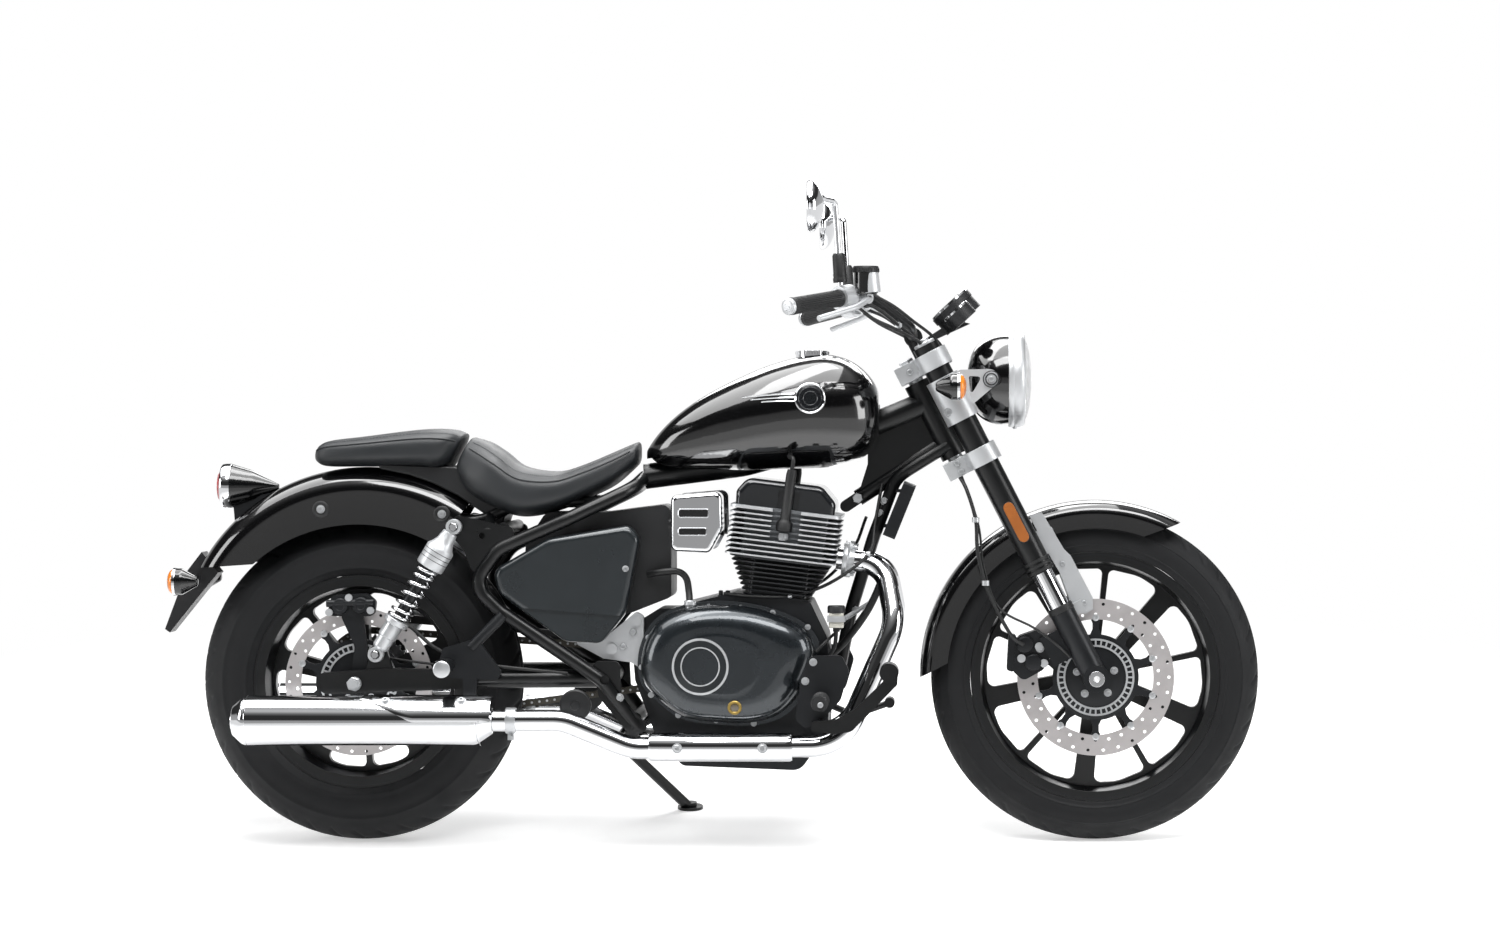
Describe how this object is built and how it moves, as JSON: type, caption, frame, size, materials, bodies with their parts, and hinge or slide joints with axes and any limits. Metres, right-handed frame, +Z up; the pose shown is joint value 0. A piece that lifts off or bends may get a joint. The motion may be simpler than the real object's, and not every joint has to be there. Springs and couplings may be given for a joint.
{
  "type": "cruiser motorcycle",
  "caption": "Cruiser motorcycle with a twin-cylinder engine, teardrop tank, swept bars and twin chrome silencers, leaning on its side stand.",
  "frame": {"origin": "on the floor under the middle of the parked bike's bounding box", "axes": "+X forward, +Y to the bike's left, +Z up from the floor; the bike leans 8 degrees to its left"},
  "size_m": [2.241, 0.8914, 1.372],
  "materials": {
    "black_paint": "gloss",
    "black_plastic": "matt",
    "chrome": "polished",
    "clear_lens": "clear",
    "grey_alloy": "satin",
    "red_lens": "gloss",
    "rubber": "matt",
    "satin_black": "satin powder coat",
    "seat_cover": "grained",
    "silver": "satin",
    "steel": "brushed",
    "tyre": "matt"
  },
  "bodies": {
    "frame": {"air_box": "black_plastic", "alternator_cover": "grey_alloy", "chain_guard": "black_plastic", "clutch_cover": "grey_alloy", "crankcase": "silver", "cylinder_block": "satin_black", "cylinder_head": "silver", "drive_chain": "steel", "exhaust_headers": "chrome", "filler_cap": "chrome", "foot_controls": "satin_black", "foot_rests": "satin_black", "fuel_tank": "black_paint", "gearbox_plate": "silver", "main_frame": "satin_black", "mufflers": "chrome", "oil_cooler": "satin_black", "pillion_rests": "satin_black", "pillion_seat": "seat_cover", "plate_bracket": "black_plastic", "rear_axle": "steel", "rear_caliper": "satin_black", "rear_fender": "black_paint", "rear_indicators": "satin_black", "rider_seat": "seat_cover", "rocker_cover": "satin_black", "shock_absorbers": "chrome", "side_panels": "black_paint", "sprocket_cover": "satin_black", "swingarm": "satin_black", "tail_lamp": "red_lens", "tail_lamp_foot": "satin_black", "throttle_covers": "chrome"},
    "steering": {"fender_stays": "silver", "fork_castings": "satin_black", "fork_clamps": "silver", "fork_sliders": "chrome", "fork_tubes": "satin_black", "front_axle": "chrome", "front_caliper": "satin_black", "front_fender": "black_paint", "front_indicators": "satin_black", "grips": "rubber", "hand_controls": "silver", "handlebar": "satin_black", "headlamp_bowl": "satin_black", "headlamp_lens": "clear_lens", "instruments": "black_plastic", "lamp_brackets": "silver", "mirrors": "chrome"},
    "front_wheel": {"front_disc": "steel", "front_rim": "satin_black", "front_tyre": "tyre"},
    "rear_wheel": {"rear_disc": "steel", "rear_rim": "satin_black", "rear_sprocket": "steel", "rear_tyre": "tyre"},
    "side_stand": {"side_stand": "satin_black"}
  },
  "joints": [
    {"name": "steering", "type": "hinge", "parent": "frame", "child": "steering", "pos_m": [0.50738, -0.04642, 0.75778], "axis": [-0.4571, 0.1238, 0.8808], "range_deg": [-30, 30]},
    {"name": "front_wheel_spin", "type": "hinge", "parent": "steering", "child": "front_wheel", "pos_m": [0.7845, -0.10609, 0.33322], "axis": [0, 0.9903, -0.1392], "continuous": true},
    {"name": "rear_wheel_spin", "type": "hinge", "parent": "frame", "child": "rear_wheel", "pos_m": [-0.7155, -0.1073, 0.32455], "axis": [0, 0.9903, -0.1392], "continuous": true},
    {"name": "stand_fold", "type": "hinge", "parent": "frame", "child": "side_stand", "pos_m": [-0.1955, -0.01616, 0.16834], "axis": [0.0331, 0.7852, 0.6184], "range_deg": [0, 116]}
  ]
}
